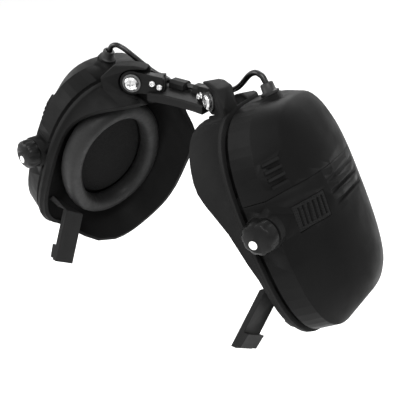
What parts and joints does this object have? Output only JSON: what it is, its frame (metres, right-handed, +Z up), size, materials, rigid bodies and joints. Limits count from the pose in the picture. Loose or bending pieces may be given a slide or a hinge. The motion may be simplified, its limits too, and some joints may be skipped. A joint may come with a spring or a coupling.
{
  "type": "earmuff hearing protector",
  "caption": "Electronic earmuff: two tilting hard cups with soft ear cushions on a short headband, volume knobs, microphone grilles, strap hooks and joining cables.",
  "frame": {"origin": "middle of the headband's flat underside, 4 mm behind its front edge", "axes": "+X to the wearer's right, +Y to the back of the head, +Z up"},
  "size_m": [0.2226, 0.0915, 0.1362],
  "materials": {
    "black_plastic": "fine matte texture",
    "soft_black": "soft-touch matte",
    "grey_leatherette": "dark grey leatherette, soft sheen",
    "dark_foam": "open-cell foam behind a thin cloth",
    "cable_black": "smooth glossy jacket",
    "steel": "bright plated steel",
    "board_green": "solder-mask green board",
    "battery_wrap": "plain printed wrap",
    "control_grey": "moulded housing"
  },
  "bodies": {
    "bridge": {"headband": "black_plastic", "link_cable": "cable_black", "hinge_arm_right": "black_plastic", "arm_screw_a_right": "steel", "arm_screw_b_right": "steel", "cable_cover_right": "black_plastic", "hinge_arm_left": "black_plastic", "arm_screw_a_left": "steel", "arm_screw_b_left": "steel", "cable_cover_left": "black_plastic"},
    "cup_right": {"frame_right": "black_plastic", "baffle_right": "black_plastic", "cushion_right": "grey_leatherette", "foam_disc_right": "dark_foam", "strap_hook_right": "black_plastic", "shell_upper_right": "black_plastic", "shell_lower_right": "black_plastic", "mic_grille_right": "soft_black", "speaker_right": "control_grey", "circuit_board_right": "board_green", "volume_control_right": "control_grey", "microphone_right": "steel", "cable_gland_right": "soft_black", "pivot_washer_right": "steel", "pivot_screw_right": "steel", "cable_right": "cable_black", "battery_a_right": "battery_wrap", "battery_b_right": "battery_wrap", "battery_tray_right": "control_grey"},
    "cup_left": {"frame_left": "black_plastic", "baffle_left": "black_plastic", "cushion_left": "grey_leatherette", "foam_disc_left": "dark_foam", "strap_hook_left": "black_plastic", "shell_upper_left": "black_plastic", "shell_lower_left": "black_plastic", "mic_grille_left": "soft_black", "speaker_left": "control_grey", "circuit_board_left": "board_green", "volume_control_left": "control_grey", "microphone_left": "steel", "cable_gland_left": "soft_black", "pivot_washer_left": "steel", "pivot_screw_left": "steel", "cable_left": "cable_black"},
    "knob_right": {"volume_knob_right": "soft_black", "knob_shaft_right": "control_grey"},
    "knob_left": {"volume_knob_left": "soft_black", "knob_shaft_left": "control_grey"}
  },
  "joints": [
    {"name": "cup_tilt_right", "type": "hinge", "parent": "bridge", "child": "cup_right", "pos_m": [0.0275, -0.006, 0.0095], "axis": [-0.5, -0.866, 0], "range_deg": [-4, 8], "deforming": ["cable_right"]},
    {"name": "cup_tilt_left", "type": "hinge", "parent": "bridge", "child": "cup_left", "pos_m": [-0.0275, -0.006, 0.0095], "axis": [-0.5, 0.866, 0], "range_deg": [-4, 8], "deforming": ["cable_left"]},
    {"name": "volume_turn_right", "type": "hinge", "parent": "cup_right", "child": "knob_right", "pos_m": [0.07781, -0.04067, -0.03153], "axis": [0.1176, -0.9912, 0.0605], "range_deg": [-135, 135]},
    {"name": "volume_turn_left", "type": "hinge", "parent": "cup_left", "child": "knob_left", "pos_m": [-0.07781, -0.04067, -0.03153], "axis": [-0.1176, -0.9912, 0.0605], "range_deg": [-135, 135]}
  ]
}
